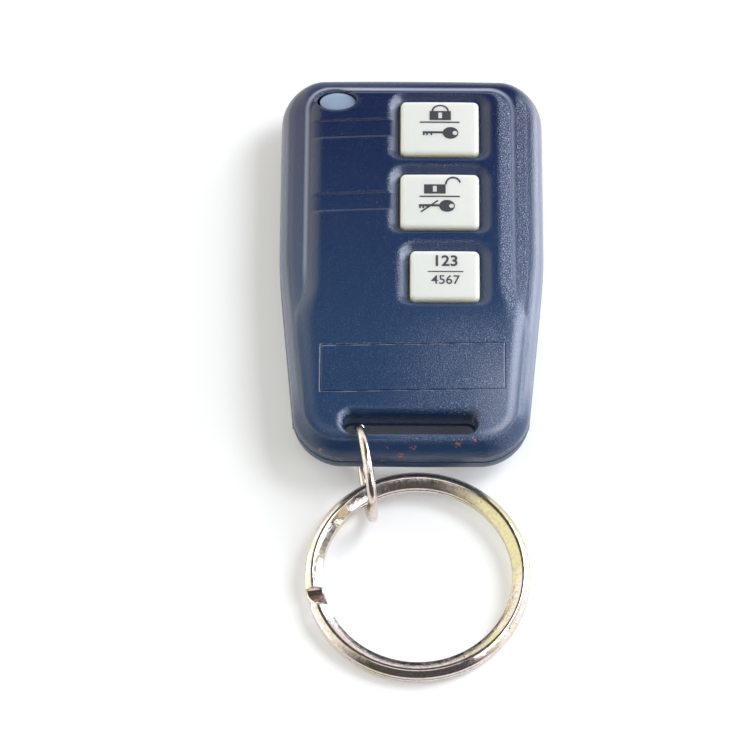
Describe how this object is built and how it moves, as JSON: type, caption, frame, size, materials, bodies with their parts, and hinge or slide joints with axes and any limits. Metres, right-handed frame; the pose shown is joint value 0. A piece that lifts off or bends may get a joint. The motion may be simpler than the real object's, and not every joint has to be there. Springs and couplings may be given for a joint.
{
  "type": "car alarm remote",
  "caption": "Slim two-shell key fob with push buttons, an indicator window and a cord slot that carries a jump ring and a split key ring.",
  "frame": {"origin": "centre of the rear casing's flat back", "axes": "+Z out of the face with the buttons, +Y to the end with the indicator window, -Y to the split ring, +X to the right seen from the front"},
  "size_m": [0.0362, 0.0894, 0.0133],
  "materials": {
    "navy_plastic": "fine spark-eroded grain",
    "navy_plastic_rear": "fine spark-eroded grain",
    "ivory_plastic": "smooth satin",
    "switch_plastic": "matte",
    "plunger_plastic": "satin",
    "lens_plastic": "frosted, clear blue-grey",
    "led_resin": "clear resin",
    "board_laminate": "solder mask",
    "cell_steel": "satin",
    "contact_steel": "plated",
    "chip_resin": "matte",
    "can_metal": "satin",
    "capacitor_ceramic": "ceramic",
    "resistor_ceramic": "ceramic",
    "tinned_wire": "tinned",
    "screw_steel": "zinc plated",
    "nickel_plate": "nickel plate, worn"
  },
  "bodies": {
    "casing": {"front_casing": "navy_plastic", "rear_casing": "navy_plastic_rear", "switch_lock": "switch_plastic", "switch_unlock": "switch_plastic", "switch_channel": "switch_plastic", "indicator_lens": "lens_plastic", "indicator_led": "led_resin", "circuit_board": "board_laminate", "coin_cell": "cell_steel", "contact_negative": "contact_steel", "contact_positive": "contact_steel", "controller_chip": "chip_resin", "radio_chip": "chip_resin", "quartz_crystal": "can_metal", "saw_resonator": "can_metal", "capacitors": "capacitor_ceramic", "resistors": "resistor_ceramic", "antenna_wire": "tinned_wire", "casing_screws": "screw_steel"},
    "button_lock": {"button_lock": "ivory_plastic", "plunger_lock": "plunger_plastic"},
    "button_unlock": {"button_unlock": "ivory_plastic", "plunger_unlock": "plunger_plastic"},
    "button_channel": {"button_channel": "ivory_plastic", "plunger_channel": "plunger_plastic"},
    "jump_ring": {"jump_ring": "nickel_plate"},
    "split_ring": {"split_ring": "nickel_plate"}
  },
  "joints": [
    {"name": "lock_press", "type": "slide", "parent": "casing", "child": "button_lock", "axis": [0, 0, -1], "range_m": [0, 0.0004], "stiffness_N_per_m": 3000},
    {"name": "unlock_press", "type": "slide", "parent": "casing", "child": "button_unlock", "axis": [0, 0, -1], "range_m": [0, 0.0004], "stiffness_N_per_m": 3000},
    {"name": "channel_press", "type": "slide", "parent": "casing", "child": "button_channel", "axis": [0, 0, -1], "range_m": [0, 0.0004], "stiffness_N_per_m": 3000},
    {"name": "jump_ring_slide", "type": "slide", "parent": "casing", "child": "jump_ring", "axis": [1, 0, 0], "range_m": [-0.0004, 0.0134]},
    {"name": "split_ring_swing", "type": "hinge", "parent": "jump_ring", "child": "split_ring", "pos_m": [-0.00583, -0.03301, 0.00281], "axis": [-0.9848, -0.1736, 0], "range_deg": [-80, 65]}
  ]
}
